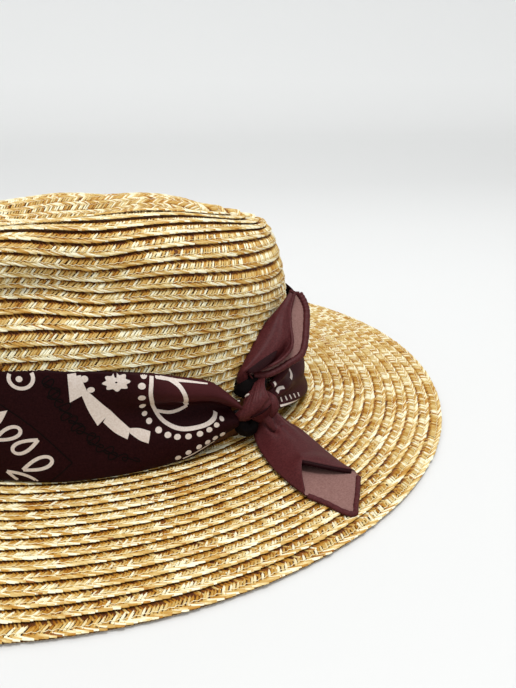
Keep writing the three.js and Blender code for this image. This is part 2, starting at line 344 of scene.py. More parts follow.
def strawMaterial():
    # a strand's tone picks its colour, and fine streaks run along it
    look = {"roughness": 0.55, "specular": 0.35, "streakScale": (2.2, 0.35, 1), "streakSpread": 0.5,
            "bump": 0.25, "bumpDepth": 0.0002}
    stops = [(0.0, (0.10, 0.022, 0.0005)), (0.2, (0.27, 0.086, 0.002)), (0.42, (0.47, 0.220, 0.018)),
             (0.66, (0.57, 0.365, 0.100)), (0.85, (0.73, 0.57, 0.25)), (1.0, (0.90, 0.85, 0.62))]
    material, nodes, shader = newMaterial("strawPaper", look["roughness"], look["specular"])
    tone, uv, ramp = toneNode(nodes), uvNode(nodes), rampNode(nodes, stops)
    stretch = addNode(nodes, "Mapping", {"Scale": look["streakScale"]})
    streak = addNode(nodes, "TexNoise", {"Scale": 1.0, "Detail": 2.0})
    spread = addNode(nodes, "Math", {1: look["streakSpread"], 2: -look["streakSpread"] / 2})
    spread.operation = "MULTIPLY_ADD"
    total = addNode(nodes, "Math")
    total.operation = "ADD"
    bump = addNode(nodes, "Bump", {"Strength": look["bump"], "Distance": look["bumpDepth"]})
    wire(material.node_tree,
         (uv, "UV", stretch, "Vector"), (stretch, "Vector", streak, "Vector"), (streak, "Fac", spread, 0),
         (tone, "Fac", total, 0), (spread, "Value", total, 1), (total, "Value", ramp, "Fac"),
         (ramp, "Color", shader, "Base Color"),
         (streak, "Fac", bump, "Height"), (bump, "Normal", shader, "Normal"))
    return material


def gapShadeMaterial():
    # what shows between the strands, a dark brown that is painted shade
    look = {"roughness": 0.8, "grain": 900, "dark": (0.070, 0.016, 0.0005), "light": (0.20, 0.066, 0.004)}
    material, nodes, shader = newMaterial("strawPaintedShadeBetweenStrands", look["roughness"])
    place = addNode(nodes, "TexCoord")
    grain = addNode(nodes, "TexNoise", {"Scale": look["grain"]})
    ramp = rampNode(nodes, [(0.0, look["dark"]), (1.0, look["light"])])
    wire(material.node_tree, (place, "Object", grain, "Vector"), (grain, "Fac", ramp, "Fac"),
         (ramp, "Color", shader, "Base Color"))
    return material


def undersideMaterial():
    # the plaited back of the straw: short slanted strands in rows, from the uv in millimetres
    look = {"roughness": 0.65, "strands": (0.62, 0.9, 1), "slant": (0, 0, 0.6), "wave": 0.9,
            "distortion": 3.5, "dark": (0.22, 0.11, 0.035), "light": (0.72, 0.55, 0.30),
            "bump": 0.6, "bumpDepth": 0.0006}
    material, nodes, shader = newMaterial("strawInside", look["roughness"])
    uv = uvNode(nodes)
    stretch = addNode(nodes, "Mapping", {"Scale": look["strands"], "Rotation": look["slant"]})
    wave = addNode(nodes, "TexWave", {"Scale": look["wave"], "Detail": 2.0})
    wave.inputs["Distortion"].default_value = look["distortion"]
    ramp = rampNode(nodes, [(0.0, look["dark"]), (1.0, look["light"])])
    bump = addNode(nodes, "Bump", {"Strength": look["bump"], "Distance": look["bumpDepth"]})
    wire(material.node_tree,
         (uv, "UV", stretch, "Vector"), (stretch, "Vector", wave, "Vector"), (wave, "Fac", ramp, "Fac"),
         (ramp, "Color", shader, "Base Color"),
         (wave, "Fac", bump, "Height"), (bump, "Normal", shader, "Normal"))
    return material


def scarfMaterial(name, dark, light, gloss=0.04, edge=None):
    # fine woven cloth, and edge is a lighter colour that a piece's tone brings in, used as painted light
    look = {"roughness": 0.5, "weave": 1400, "bump": 0.2, "bumpDepth": 0.0001}
    material, nodes, shader = newMaterial(name, look["roughness"], gloss)
    place = addNode(nodes, "TexCoord")
    weave = addNode(nodes, "TexNoise", {"Scale": look["weave"], "Detail": 2})
    ramp = rampNode(nodes, [(0.3, dark), (0.7, light)])
    bump = addNode(nodes, "Bump", {"Strength": look["bump"], "Distance": look["bumpDepth"]})
    wire(material.node_tree, (place, "Object", weave, "Vector"), (weave, "Fac", ramp, "Fac"),
         (weave, "Fac", bump, "Height"), (bump, "Normal", shader, "Normal"))
    if edge:
        blend = addNode(nodes, "Mix")
        blend.data_type = "RGBA"
        blend.inputs["B"].default_value = (*edge, 1)
        wire(material.node_tree, (toneNode(nodes), "Fac", blend, "Factor"), (ramp, "Color", blend, "A"),
             (blend, "Result", shader, "Base Color"))
    else:
        wire(material.node_tree, (ramp, "Color", shader, "Base Color"))
    return material


straw = strawMaterial()
strawGapShade = gapShadeMaterial()
strawInside = undersideMaterial()
scarfCloth = scarfMaterial("scarfSatin", (0.046, 0.0080, 0.0090), (0.082, 0.0170, 0.0180), gloss=0.13)
# the band's satin: the same cloth made darker as painted shade, with painted light brought in by its tone
scarfShadedSatin = scarfMaterial("scarfSatinPaintedShade", (0.010, 0.0016, 0.0022), (0.019, 0.0037, 0.0045),
                               edge=(0.085, 0.020, 0.022))
scarfReverse = scarfMaterial("scarfSatinReverse", (0.190, 0.098, 0.086), (0.255, 0.140, 0.123))
scarfPrint = scarfMaterial("scarfPrintOffWhite", (0.58, 0.49, 0.43), (0.68, 0.61, 0.56))
# the print's black ink, also used as painted shade on the knot's shadowed back and under-fold
scarfInkAndShade = scarfMaterial("scarfPrintDarkAndShade", (0.003, 0.002, 0.002), (0.005, 0.003, 0.003))


# the braid
braid = {
    "stitch": 1.30,                             # spacing of the strands along a row
    "base": -0.40,                              # hidden side of a row, against the plain face
    "crownFace": 0.3, "crownOverlap": 1.60,     # how proud a row's outer edge stands over its hidden side
    "brimFace": 1.35, "brimOverlap": 1.05,
    "samples": 240,                             # points for each radian when a row is measured
}
# slant is how far the strands lean along their row, and the other value how much painted shade darkens their
# tucked ends
brimLay = {"slant": 1.6, "paintedShade": 0.75}
crownTopLay = {"slant": 1.8, "paintedShade": 1.3}
crownSideLay = {"slant": 1.8, "paintedShade": 1.4}
uneven = {"across": 0.022, "along": 0.13, "lift": 0.05, "width": 0.10}      # spread from strand to strand
dye = {"patchMemory": 0.8, "patchSpread": 0.05, "strandMemory": 0.2, "strandSpread": 0.12,
       "darkShare": 0.26, "dark": -0.22, "lightShare": 0.24, "light": 0.33}
thread = {"across": 0.66, "swing": 0.045, "lift": 0.50, "uneven": 0.03, "halfWidth": 0.13, "height": 0.12,
          "tone": 0.92}

# the strands of one stitch, a row for each station along a strand:
# share across the row, shift along the row, lift, share of the width, change of tone (where negative, painted
# shade at a tucked end)
toothStrand = {"width": 0.40, "height": 0.36, "tone": 0.56, "stations": [
    (-0.20, -0.75, -0.34, 0.9, -0.60), (0.19, 0.02, -0.14, 1.0, -0.30), (0.38, 0.60, -0.02, 0.8, 0.05)]}
leafStrand = {"width": 0.46, "height": 0.48, "tone": 0.69, "stations": [
    (0.19, 0.74, -0.20, 0.6, -0.35), (0.36, 0.36, 0.14, 1.0, 0.05), (0.58, -0.20, 0.16, 1.0, 0.05),
    (0.84, -0.85, -0.12, 0.7, -0.2)]}
edgeStrand = {"width": 0.40, "height": 0.40, "tone": 0.79, "stations": [
    (0.70, -1.45, -0.06, 0.6, -0.2), (0.85, -0.50, 0.16, 1.0, 0.05), (0.955, 0.60, 0.10, 1.1, 0.05),
    (0.995, 1.70, -0.14, 0.7, -0.1)]}
ridge = [(-1, -0.4), (0, 1), (1, -0.4)]     # a strand's section, in its half width and its height


def crownRow(theta, q, lift):
    # theta runs on round the spiral, q from the hidden side of a row to its outer edge
    seam = crown["seam"] - (theta + math.pi / 2) / fullTurn
    run = crownRunAt(theta, seam + 1 - q)
    return offCrown(theta, run, braid["crownFace"] + braid["base"] + braid["crownOverlap"] * q + lift)


def brimSeam(theta):
    inward = brim["edgeRow"] - brim["rowPitch"] * (theta - brim["seamAt"]) / fullTurn
    for size, rate, phase in brim["waver"]:
        inward = inward + size * np.sin(theta * rate + phase)
    closing = smooth((theta - brim["braidEnd"] + brim["endTaper"]) / brim["endTaper"])
    return np.maximum(inward, 0) * (1 - closing)


def brimRow(theta, q, lift):
    inFromEdge = mix(brimSeam(theta - fullTurn), brimSeam(theta), q)
    z = braid["brimFace"] + braid["base"] + braid["brimOverlap"] * q + lift
    return brimPoint(theta, inFromEdge, z)


def stitchAngles(rowPoint, first, last):
    theta = np.linspace(first, last, int(abs(last - first) * braid["samples"]))
    line = rowPoint(theta, np.full_like(theta, 0.5), 0.0)
    length = np.concatenate([[0], np.cumsum(np.linalg.norm(np.diff(line, axis=0), axis=1))])
    at = np.arange(0, length[-1], braid["stitch"])
    return np.interp(at, length, theta), np.interp(at, length, np.gradient(length, theta))


def alikeTones(count, memory, spread):
    # tones that stay alike over a few stitches, as a dyed straw comes round in the plait
    noise = rng.normal(0, 1, count)
    tone = np.zeros(count)
    for k in range(1, count):
        tone[k] = memory * tone[k - 1] + math.sqrt(1 - memory * memory) * noise[k]
    return tone * spread


def layStrands(rowPoint, theta, perRadian, strand, level, lay):
    path = np.array(strand["stations"])
    count, stations, ring = len(theta), len(path), len(ridge)
    q = path[None, :, 0] + rng.normal(0, uneven["across"], (count, 1))
    shift = path[None, :, 1] * lay["slant"] + rng.normal(0, uneven["along"], (count, 1))
    lift = path[None, :, 2] + rng.normal(0, uneven["lift"], (count, 1))
    angle = theta[:, None] + shift / perRadian[:, None]
    centre = rowPoint(angle, q, lift)
    ahead = np.gradient(centre, axis=1)
    out = rowPoint(angle, q, lift + 0.5) - centre
    side = unit(np.cross(ahead, out))
    out = unit(out)
    wide = strand["width"] * path[None, :, 3] * (1 + rng.normal(0, uneven["width"], (count, 1)))
    points = [centre + side * (wide * a)[..., None] + out * (strand["height"] * b) for a, b in ridge]
    points = np.stack(points, 2)
    # each strand has a stretch of uv of its own, in millimetres, so that no two have the same streaks
    across = np.linspace(0, 1.3, ring)[None, None, :]
    along = np.linspace(0, 3.5, stations)[None, :, None] + rng.uniform(0, 900, (count, 1, 1))
    uv = np.stack(np.broadcast_arrays(across, along + 0 * across), -1)
    # painted shade: the tucked ends of each strand turn darker by their station's change of tone
    tone = strand["tone"] + level[:, None] + path[None, :, 4] * lay["paintedShade"]
    tone = np.broadcast_to(tone[..., None], points.shape[:3])
    return points.reshape(-1, 3), uv.reshape(-1, 2), tone.ravel(), strandQuads(count, stations, ring)


def layThread(rowPoint, theta, shown):
    # the sewing thread, a fine zigzag that runs along each row
    count = len(theta)
    side = np.where(np.arange(count) % 2 == 0, thread["swing"], -thread["swing"])
    centre = rowPoint(theta, thread["across"] + side, thread["lift"] + rng.normal(0, thread["uneven"], count))
    ahead = np.gradient(centre, axis=0)
    out = rowPoint(theta, thread["across"] + side, 1.0) - centre
    across = unit(np.cross(ahead, out))
    points = np.stack([centre + across * thread["halfWidth"] * a + unit(out) * thread["height"] * b
                       for a, b in ridge], 1)
    uv = np.stack(np.broadcast_arrays(np.linspace(0, 1, 3)[None, :], np.arange(count)[:, None] * 1.6), -1)
    quads = gridQuads(count, 3)[:, ::-1].reshape(count - 1, 2, 4)[shown[1:] & shown[:-1]]
    return points.reshape(-1, 3), uv.reshape(-1, 2), np.full(count * 3, thread["tone"]), quads.reshape(-1, 4)


def braidPiece(name, rowPoint, first, last, lay, keep=None):
    # one length of the braid, from the first angle of its spiral to the last
    theta, perRadian = stitchAngles(rowPoint, first, last)
    count = len(theta)
    patches = alikeTones(count, dye["patchMemory"], dye["patchSpread"])
    chance = rng.random(count)
    accents = np.where(chance < dye["darkShare"], dye["dark"],
                       np.where(chance > 1 - dye["lightShare"], dye["light"], 0.0))
    shown = np.ones(count, bool) if keep is None else keep(theta)
    layers = []
    for k, strand in enumerate((toothStrand, leafStrand, edgeStrand)):
        level = patches + alikeTones(count, dye["strandMemory"], dye["strandSpread"]) + np.roll(accents, k)
        layers.append(layStrands(rowPoint, theta[shown], perRadian[shown], strand, level[shown], lay))
    layers.append(layThread(rowPoint, theta, shown))
    points, uv, tone = (np.concatenate([layer[k] for layer in layers]) for k in range(3))
    starts = np.cumsum([0] + [len(layer[0]) for layer in layers[:-1]])
    quads = np.concatenate([layer[3] + start for layer, start in zip(layers, starts)])
    dress(meshFrom(name, points, quads, straw, tone, uv))


# the body of the straw under its strands, and the plaited face inside
def crownShell():
    body = {"rounds": 144, "rows": 60, "outer": -0.55, "inner": -1.5, "innerGroove": -2.0}
    phi = np.linspace(0, fullTurn, body["rounds"], endpoint=False)[:, None]
    run = crownReach(phi) * np.linspace(0, 1, body["rows"])[None, :]
    outer = offCrown(phi, run, np.full_like(run, body["outer"]))
    grooved = np.where(np.arange(body["rows"])[None, :] % 2 == 0, body["inner"], body["innerGroove"])
    inside = offCrown(phi, run, grooved + 0 * run)
    for skin in (outer, inside):
        skin[:, 0, 2] = crown["baseZ"]
    strawShell("crownShell", outer, inside, "straw_crown")


def brimShell():
    body = {"rounds": 180, "rows": 46, "underCrown": 2, "edge": 0.5, "top": 0.62, "under": 0.0,
            "underGroove": 0.45}
    phi = np.linspace(0, fullTurn, body["rounds"], endpoint=False)[:, None]
    innermost = brim["halfWidth"] - crown["halfWidth"] + body["underCrown"]
    inward = np.linspace(innermost, body["edge"], body["rows"])[None, :] + 0 * phi
    grooved = np.where(np.arange(body["rows"])[None, :] % 3 == 0, body["underGroove"], body["under"])
    strawShell("brimShell", brimPoint(phi, inward, body["top"]), brimPoint(phi, inward, grooved + 0 * phi),
               "straw_brim")


def strawShell(name, outer, inside, node):
    uvSize = {"round": 600, "row": 2.9}
    rounds, rows = outer.shape[:2]
    along = np.arange(rounds)[:, None] * uvSize["round"] / rounds + np.zeros((1, rows))
    across = np.arange(rows)[None, :] * uvSize["row"] + np.zeros((rounds, 1))
    uv = np.tile(np.stack([along, across], -1).reshape(-1, 2), (2, 1))
    # the shell's outer face, the dark brown seen between the strands, is painted shade
    shell = slabPiece(name, outer, inside, strawGapShade, strawInside, backRims=True, closed=True, uv=uv)
    dress(shell, [node])


# the scarf
bandStations = [
    # angle in degrees, low edge, high edge, lift off the straw, depth of its folds
    (-54.1, 14.0, 28.0, 6.6, 0.9), (-59, 9.0, 38.0, 3.6, 1.0), (-65, 5.0, 42.5, 1.6, 0.7),
    (-74, 3.6, 47.3, 0.6, 0.35), (-88, 3.3, 51, 0.2, 0.15), (-104, 3.3, 52.5, 0.2, 0.15),
    (-180, 3.2, 51, 0.4, 0.3), (-270, 3.2, 50, 0.2, 0.15), (-345, 3.2, 52, 0.8, 0.3),
    (-364, 3.4, 50, 4.0, 0.6), (-378, 4.0, 40, 8.0, 0.9), (-390, 8.0, 34, 7.0, 1.0),
    (-402.1, 13.0, 27.5, 6.6, 0.9),
]
# how far the cloth stands out from its low edge to its high edge where the knot gathers it
gatherRoll = [-0.4, 0.5, 1.0, 1.2, 0.6, -1.4, -3.4, -3.2, 1.4, 3.6, 3.2, 1.2]
# how many points the band has along and across, and how far its faces and its print stand out
bandCloth = {"stations": 420, "rows": 46, "face": 0.7, "back": -0.2, "print": 0.83, "measured": 1400}
bandDense = tableCurve(bandStations, np.linspace(0, len(bandStations) - 1, 2400))


# places are a start or an end and a span, in degrees round the band or in shares of its height
bandShape = {
    "stand": 2.0, "pleats": 2,
    "gatherAt": (-84, 18), "gather": 1.15,                      # gathered into the knot
    "drawnAt": (-362, 14), "drawn": 1.3, "drawnRate": (15, 0.03), "drawnIn": 0.4,       # drawn up beyond it
    "slack": 0.35, "slackRate": (4, 0.055),                     # and slack all the way between
    "flare": 2.8, "flareFrom": (-104, 14), "flareTo": (-58, 8), "flarePower": 3,        # its foot at the front
    "lean": 0.85, "leanHigh": (0.25, 0.4), "leanFrom": (-396, 10),      # its top leans in beyond the knot
    "edgePower": 9,
    # the two tones below are painted light, on the rolled top by the knot and on the drawn-up cloth beyond it
    "rollAt": (-80, 16), "rollHigh": (0.60, 0.14), "rollPaintedLight": 0.48, "drawnPaintedLight": 0.30,
}


def bandRow(angle):
    return [np.interp(-angle, -bandDense[:, 0], bandDense[:, k]) for k in (1, 2, 3, 4)]


def bandPoint(angle, z, off=0.0):
    # the scarf band's surface, at an angle in degrees and a height off the floor
    low, high, lift, pleat = bandRow(angle)
    share = np.clip((z - low) / (high - low), 0, 1)
    place = share * (len(gatherRoll) - 1)
    roll = tableCurve([[row] for row in gatherRoll], place)[..., 0]
    gathered = rising(angle, *bandShape["gatherAt"])
    drawn = falling(angle, *bandShape["drawnAt"])
    drawnRate, slackRate = bandShape["drawnRate"], bandShape["slackRate"]
    folds = gathered * roll * bandShape["gather"] + drawn * (
        bandShape["drawn"] * np.sin(share * drawnRate[0] + angle * drawnRate[1]) - bandShape["drawnIn"])
    slack = (1 - gathered) * (1 - drawn) * bandShape["slack"]
    folds = folds + slack * np.sin(share * slackRate[0] + angle * slackRate[1])
    flare = bandShape["flare"] * rising(angle, *bandShape["flareFrom"])
    flare = flare * falling(angle, *bandShape["flareTo"]) * (1 - share) ** bandShape["flarePower"]
    lean = bandShape["lean"] * drawn * rising(share, *bandShape["leanHigh"])
    lean = lean * rising(angle, *bandShape["leanFrom"])
    rounding = -np.abs(2 * share - 1) ** bandShape["edgePower"]
    out = bandShape["stand"] + lift * (1 - lean) + bandShape["pleats"] * pleat
    out = out + folds + flare + rounding + off
    point = offCrown(np.radians(angle), z - crown["baseZ"], out)
    point[..., 2] = z
    return point


def bandPaintedLight(angle, z):
    # painted light: the band turns lighter on its rolled top where the knot gathers it, and where it is drawn
    # up beyond the knot
    low, high = bandRow(angle)[:2]
    share = (z - low) / (high - low)
    rolled = rising(angle, *bandShape["rollAt"]) * rising(share, *bandShape["rollHigh"])
    drawn = falling(angle, *bandShape["drawnAt"])
    return bandShape["rollPaintedLight"] * rolled + bandShape["drawnPaintedLight"] * drawn


def bandPiece():
    angle = np.linspace(bandStations[0][0], bandStations[-1][0], bandCloth["stations"])[:, None]
    low, high = bandRow(angle)[:2]
    z = mix(low, high, np.linspace(0, 1, bandCloth["rows"])[None, :])
    angle = angle + 0 * z
    face, back = (bandPoint(angle, z, bandCloth[side]) for side in ("face", "back"))
    tone = bandPaintedLight(angle, z)
    piece = slabPiece("scarfBand", face, back, scarfShadedSatin, tone=np.stack([tone, tone]))
    return dress(piece, ["scarf_band"])


def bandLength():
    # angles round the band, and the millimetres of cloth from the knot to each, along its middle
    turn = np.linspace(bandStations[0][0], bandStations[-1][0], bandCloth["measured"])
    low, high = bandRow(turn)[:2]
    line = bandPoint(turn, (low + high) / 2, bandCloth["face"])
    return turn, np.concatenate([[0], np.cumsum(np.linalg.norm(np.diff(line, axis=0), axis=1))])


# The print, drawn flat and laid on the cloth: x is millimetres of cloth from the knot, z the height.
def ribbon(line, width):
    line = np.asarray(line, dtype=float)
    ahead = np.gradient(line, axis=0)
    side = unit(np.stack([-ahead[:, 1], ahead[:, 0]], -1))
    half = np.broadcast_to(np.asarray(width) / 2, len(line))[:, None]
    grid = np.stack([line - side * half, line, line + side * half], 1)
    return grid.reshape(-1, 2), gridQuads(len(line), 3)


def between(edgeA, edgeB, steps=14):
    grids = [tableCurve(edge, np.linspace(0, len(edge) - 1, steps)) for edge in (edgeA, edgeB)]
    across = np.linspace(0, 1, 4)[None, :, None]
    return mix(grids[0][:, None], grids[1][:, None], across).reshape(-1, 2), gridQuads(steps, 4)


def disc(centre, radiusX, radiusZ, lobes=0, depth=0.0, hole=0.02):
    turn = np.linspace(0, fullTurn, 16 if lobes == 0 else lobes * 6, endpoint=False)[:, None]
    reach = np.array([hole, 0.5, 1.0])[None, :] * (1 + depth * np.cos(lobes * turn))
    x, z = centre[0] + radiusX * reach * np.cos(turn), centre[1] + radiusZ * reach * np.sin(turn)
    return np.stack([x, z], -1).reshape(-1, 2), gridQuads(len(turn), 3, closed=True)


def arc(centre, radiusX, radiusZ, first, last, steps=26):
    turn = np.radians(np.linspace(first, last, steps))
    return np.stack([centre[0] + radiusX * np.cos(turn), centre[1] + radiusZ * np.sin(turn)], -1)


def teardrop(tip, bulb, halfWidth, width=1.5):
    tip, bulb = np.array(tip), np.array(bulb)
    axis = bulb - tip
    side = np.array([-axis[1], axis[0]]) / np.linalg.norm(axis)
    turn = np.linspace(0.02, fullTurn - 0.02, 34)[:, None]
    line = tip + axis * (1 - np.cos(turn)) / 2 + side * halfWidth * 1.2 * np.sin(turn) * np.sin(turn / 2) ** 1.1
    return ribbon(line, width)


def paisley():
    outer = [(35, 46), (36.4, 39.7), (35.6, 33.5), (34.5, 29.5), (32.5, 25), (29, 21.6), (24.8, 19.6),
             (19.7, 19), (14.5, 19.4), (10.5, 21), (8.5, 23)]
    shapes = [ribbon(curveLine(outer), 1.6)]
    dots = [(38, 46.6, 1.3), (39.4, 42.9, 1.5), (39.8, 37.5, 1.5), (39.4, 32.2, 1.4), (38.8, 28.2, 1.2),
            (37.4, 24.9, 1.3), (34.2, 20.9, 1.4), (30.9, 18.4, 1.4), (27.2, 16.9, 1.4), (22.7, 16.2, 1.4),
            (17.8, 16.2, 1.4), (13.6, 17.1, 1.3), (10.2, 18.5, 1.2), (7.2, 20.4, 1.0)]
    shapes += [disc((x, z), size, size * 0.9) for x, z, size in dots]
    leaf = [(33.5, 46), (29.0, 44.4), (25.6, 41.6), (24.0, 38.6), (22.9, 34.5), (22.0, 31.2), (20.0, 27.6)]
    shapes.append(ribbon(curveLine(leaf), 1.7))
    shapes.append(ribbon(curveLine([(20, 27.4), (24, 26.2), (28.5, 26.2), (33.8, 28.2)]), 1.3))
    vein = curveLine([(33.3, 45.5), (27.1, 43.4), (20.7, 41.4), (13.0, 39.0)])
    shapes.append(ribbon(vein, np.linspace(1.4, 0.4, len(vein))))
    return shapes


def arrows():
    return [
        between([(67, 53), (67.2, 46), (67.5, 38.4)], [(62.5, 53), (61.6, 47), (60.2, 42)]),
        between([(62.7, 41), (60.9, 34), (58.1, 27)], [(60.2, 42.6), (56.6, 38.0), (52.0, 32.4)]),
        between([(55.8, 28.2), (51.8, 23), (47.1, 19.3)], [(52.6, 33.2), (49, 28), (45.4, 23.4)]),
        between([(45.8, 21.6), (42.4, 18.2), (39.0, 16.2)], [(46.0, 23.8), (41.8, 23.0), (37.6, 21.0)]),
    ]


def printPiece(name, shapes, material, repeats):
    # every shape is repeated round the band, and what runs off the cloth is left out
    margin = {"low": 0.3, "high": 0.1, "end": 0.6}
    turn, length = bandLength()
    corners, faces, start = [], [], 0
    for shift in repeats:
        for flat, quads in shapes:
            x, z = flat[:, 0] + shift, flat[:, 1]
            angle = np.interp(x, length, turn)
            low, high = bandRow(angle)[:2]
            inside = (z > low + margin["low"]) & (z < high - margin["high"]) & (x < length[-1] - margin["end"])
            corners.append(bandPoint(angle, z, bandCloth["print"]))
            faces.append(quads[inside[quads].all(axis=1)] + start)
            start += len(flat)
    piece = meshFrom(name, np.concatenate(corners), np.concatenate(faces)[:, ::-1], material)
    return dress(piece)


def printPieces():
    white = paisley() + arrows()
    white += [ribbon(arc((84.6, 50.0), 4.6, 4.3, 34, -205), 1.5), disc((85.3, 49.6), 1.3, 1.2)]
    white += [disc((60.9, 47.8), 1.5, 1.4), disc((58.9, 43.0), 1.5, 1.2)]
    white += [disc((48.9, 45.2), 4.8, 3.4, lobes=8, depth=0.15, hole=0.10)]
    white += [teardrop((81.6, 23.2), (92.0, 18.3), 2.6), teardrop((89.4, 9.6), (77.4, 14.4), 2.7),
              teardrop((98.6, 23.6), (88.0, 28.2), 2.6), teardrop((96.0, 8.8), (84.4, 1.4), 2.8)]
    white += [between([(91.6, 36.6), (96, 35.6), (101, 32.8)], [(91.8, 36.2), (95.4, 30.8), (101, 27.6)])]
    lowDots = [(27.7, 6.8), (23.3, 8.5), (18.6, 10.0), (14.6, 11.0), (11, 12.0), (7.6, 13)]
    white += [disc((x, z), 1.3, 1.2) for x, z in lowDots]
    white += [ribbon(curveLine([(25.6, 5.6), (18.6, 7.8), (11.0, 10.0)]), 0.7)]
    ink = [ribbon(curveLine([(96, 41), (85, 31), (77.5, 22.4), (69.6, 12.2)]), 0.5),
           ribbon(curveLine([(69.6, 12.2), (74.6, 7.8), (80, 3.2)]), 0.5)]
    spine = curveLine([(74, 49), (73.6, 44), (71.6, 39), (68.8, 33), (66.2, 28), (61.8, 23), (58, 17.5),
                       (53, 13.4), (46, 9.5)], 330)
    wave = np.linspace(0, 32 * math.pi, len(spine))
    loops = np.stack([2.4 * np.sin(wave) + 0.9 * np.sin(wave * 0.37), 1.2 * np.cos(wave * 1.5)], -1)
    ink.append(ribbon(spine + loops, 0.5))
    # the end that comes out on the far side of the knot
    last = [ribbon(curveLine([(574.5, 24.5), (576.2, 22.6), (579, 21.5), (583.5, 21.5)]), 1.1),
            ribbon(curveLine([(599.2, 21.6), (596.6, 22.4), (593.4, 21.8)]), 1.2),
            ribbon(curveLine([(600.6, 29.5), (601.2, 27), (602.2, 24.5)]), 1.1),
            ribbon(curveLine([(597.5, 13.8), (589.2, 11.4), (578.0, 7.9)]), 0.9)]
    last += [ribbon([(x, z), (x - 0.5, z + 1.8)], 1.1) for x, z in
             [(594.4, 14.4), (590.3, 13.3), (586.3, 12.2), (582.2, 11.0), (578.0, 9.7)]]
    everyRepeat = (0, 128, 256, 384)
    return [printPiece("scarfPrint", white, scarfPrint, everyRepeat),
            printPiece("scarfPrintEnd", last, scarfPrint, (0,)),
            printPiece("scarfPrintBlack", ink, scarfInkAndShade, everyRepeat)]


def clothPiece(name, points, thick, closed=False, replaced=()):
    # a cloth grid with half its thickness to each side, its reverse in the paler cloth
    if closed:
        along = np.roll(points, -1, axis=0) - np.roll(points, 1, axis=0)
    else:
        along = np.gradient(points, axis=0)
    out = unit(np.cross(along, np.gradient(points, axis=1))) * thick / 2
    piece = slabPiece(name, points + out, points - out, scarfCloth, scarfReverse, closed=closed)
    return dress(piece, replaced)


def rollPiece(name, path, widths, flat=1.0, facing=(0, 0, 1), ripple=0.0, material=None, replaced=()):
    # a rolled or gathered strip of cloth along a path, flat is its thickness against its width
    count, around = len(path), 26
    ahead = unit(np.gradient(path, axis=0))
    side = unit(np.cross(np.asarray(facing, dtype=float), ahead))
    up = np.cross(ahead, side)
    turn = np.linspace(0, fullTurn, around, endpoint=False)
    half = np.asarray(widths, dtype=float)[:, None] / 2
    swell = 1 + ripple * np.sin(turn * 7 + 1.0)[None, :] + ripple * 0.6 * np.sin(turn * 11)[None, :]
    ring = (side[:, None] * (half * np.cos(turn) * swell)[..., None]
            + up[:, None] * (half * flat * np.sin(turn) * swell)[..., None])
    points = (path[:, None] + ring).transpose(1, 0, 2).reshape(-1, 3)
    points = np.concatenate([points, path[:1], path[-1:]])
    # a fan of three-sided faces closes each end
    here = np.arange(around) * count
    beside = np.roll(here, -1)
    startTip, endTip = (np.full(around, around * count + end) for end in (0, 1))
    faces = gridQuads(around, count, closed=True).tolist()
    faces += np.stack([beside, here, startTip], -1).tolist()
    faces += np.stack([here + count - 1, beside + count - 1, endTip], -1).tolist()
    mesh = bpy.data.meshes.new(name)
    mesh.from_pydata((points * mm).tolist(), [], faces)
    mesh.shade_smooth()
    mesh.update()
    mesh.materials.append(material or scarfCloth)
    return dress(addObject(name, mesh), replaced)


# The lower tail lies on the brim as a flattened tube, its upper layer shorter than the one below.
lowerTailRows = [
    # left fold, crease on top, right fold
    ((73.7, -65.2, 14.0), (77.0, -68.2, 17.0), (82.6, -65.4, 15.0)),
    ((72.1, -69.9, 8.0), (79.9, -72.6, 12.5), (88.6, -67.1, 9.5)),
    ((72.6, -75.3, 4.6), (84.2, -78.5, 9.5), (93.4, -69.2, 6.8)),
    ((74.1, -84.1, 3.9), (86.9, -84.7, 8.2), (97.6, -76.9, 5.6)),
    ((76.9, -94.6, 3.8), (88.3, -90.3, 7.6), (101.4, -86.7, 5.2)),
    ((80.9, -103.9, 3.7), (88.2, -96.4, 7.0), (105.2, -95.3, 5.0)),
    ((85.1, -111.7, 3.7), (89.5, -105.5, 5.6), (109.6, -102.6, 5.0)),
]
lowerTailEnd = [1.0, 5.0, 10.0, 16.5, 19.5, 15.5, 11.5, 7.0, 3.0]   # how far the lower layer runs on
# where the crease runs across the upper layer, and how far that layer reaches at its left, crease and right
lowerTail = {
    "crease": 0.46, "leftEnd": 1.0, "creaseEnd": 0.83, "rightEnd": 0.985,
    "thick": 0.55, "around": 96, "along": 80, "floor": 3.1,
    "swellLeft": 1.1, "swellRight": 0.5, "swellTo": np.array([0.1, -0.35, 0.9]),
    "stretchFrom": (0.72, 0.28), "stretchTo": np.array([0.22, -0.96, 0.0]),
    "lift": 1.5, "liftFrom": (0.62, 0.2), "wrinkle": 0.34, "wrinkleTo": (0.6, 0.5),
    # depth of a dimple, then its place and its spread round the tube and along it
    "dimples": [(2.4, 0.40, 0.10, 0.21, 0.05), (1.7, 0.66, 0.09, 0.16, 0.05)],
}


def lowerTailPoint(around, along):
    # around: 0 to 1 from the left fold over the top to the right, 1 to 2 back underneath
    rows = np.array(lowerTailRows)
    place = along * (len(rows) - 1)
    left, crease, right = (tableCurve(rows[:, k], place) for k in range(3))
    top = np.clip(around, 0, 1)[..., None]
    crossing = lowerTail["crease"]
    first = np.clip(top / crossing, 0, 1)
    second = np.clip((top - crossing) / (1 - crossing), 0, 1)
    over = np.where(top < crossing, mix(left, crease, first), mix(crease, right, second))
    swell = np.where(top < crossing, lowerTail["swellLeft"] * np.sin(math.pi * first),
                     lowerTail["swellRight"] * np.sin(math.pi * second))
    over = over + swell * lowerTail["swellTo"]
    under = np.clip(2 - around, 0, 1)[..., None]
    below = mix(left, right, under)
    flatness = np.sqrt(np.clip(np.sin(math.pi * under), 0, 1))
    floorZ = lowerTail["floor"] + 0.25 * np.sin(under[..., 0] * 7 + along * 9)
    below[..., 2] = mix(below[..., 2], floorZ, flatness[..., 0] * smooth(along / 0.25))
    return np.where(around[..., None] <= 1, over, below)


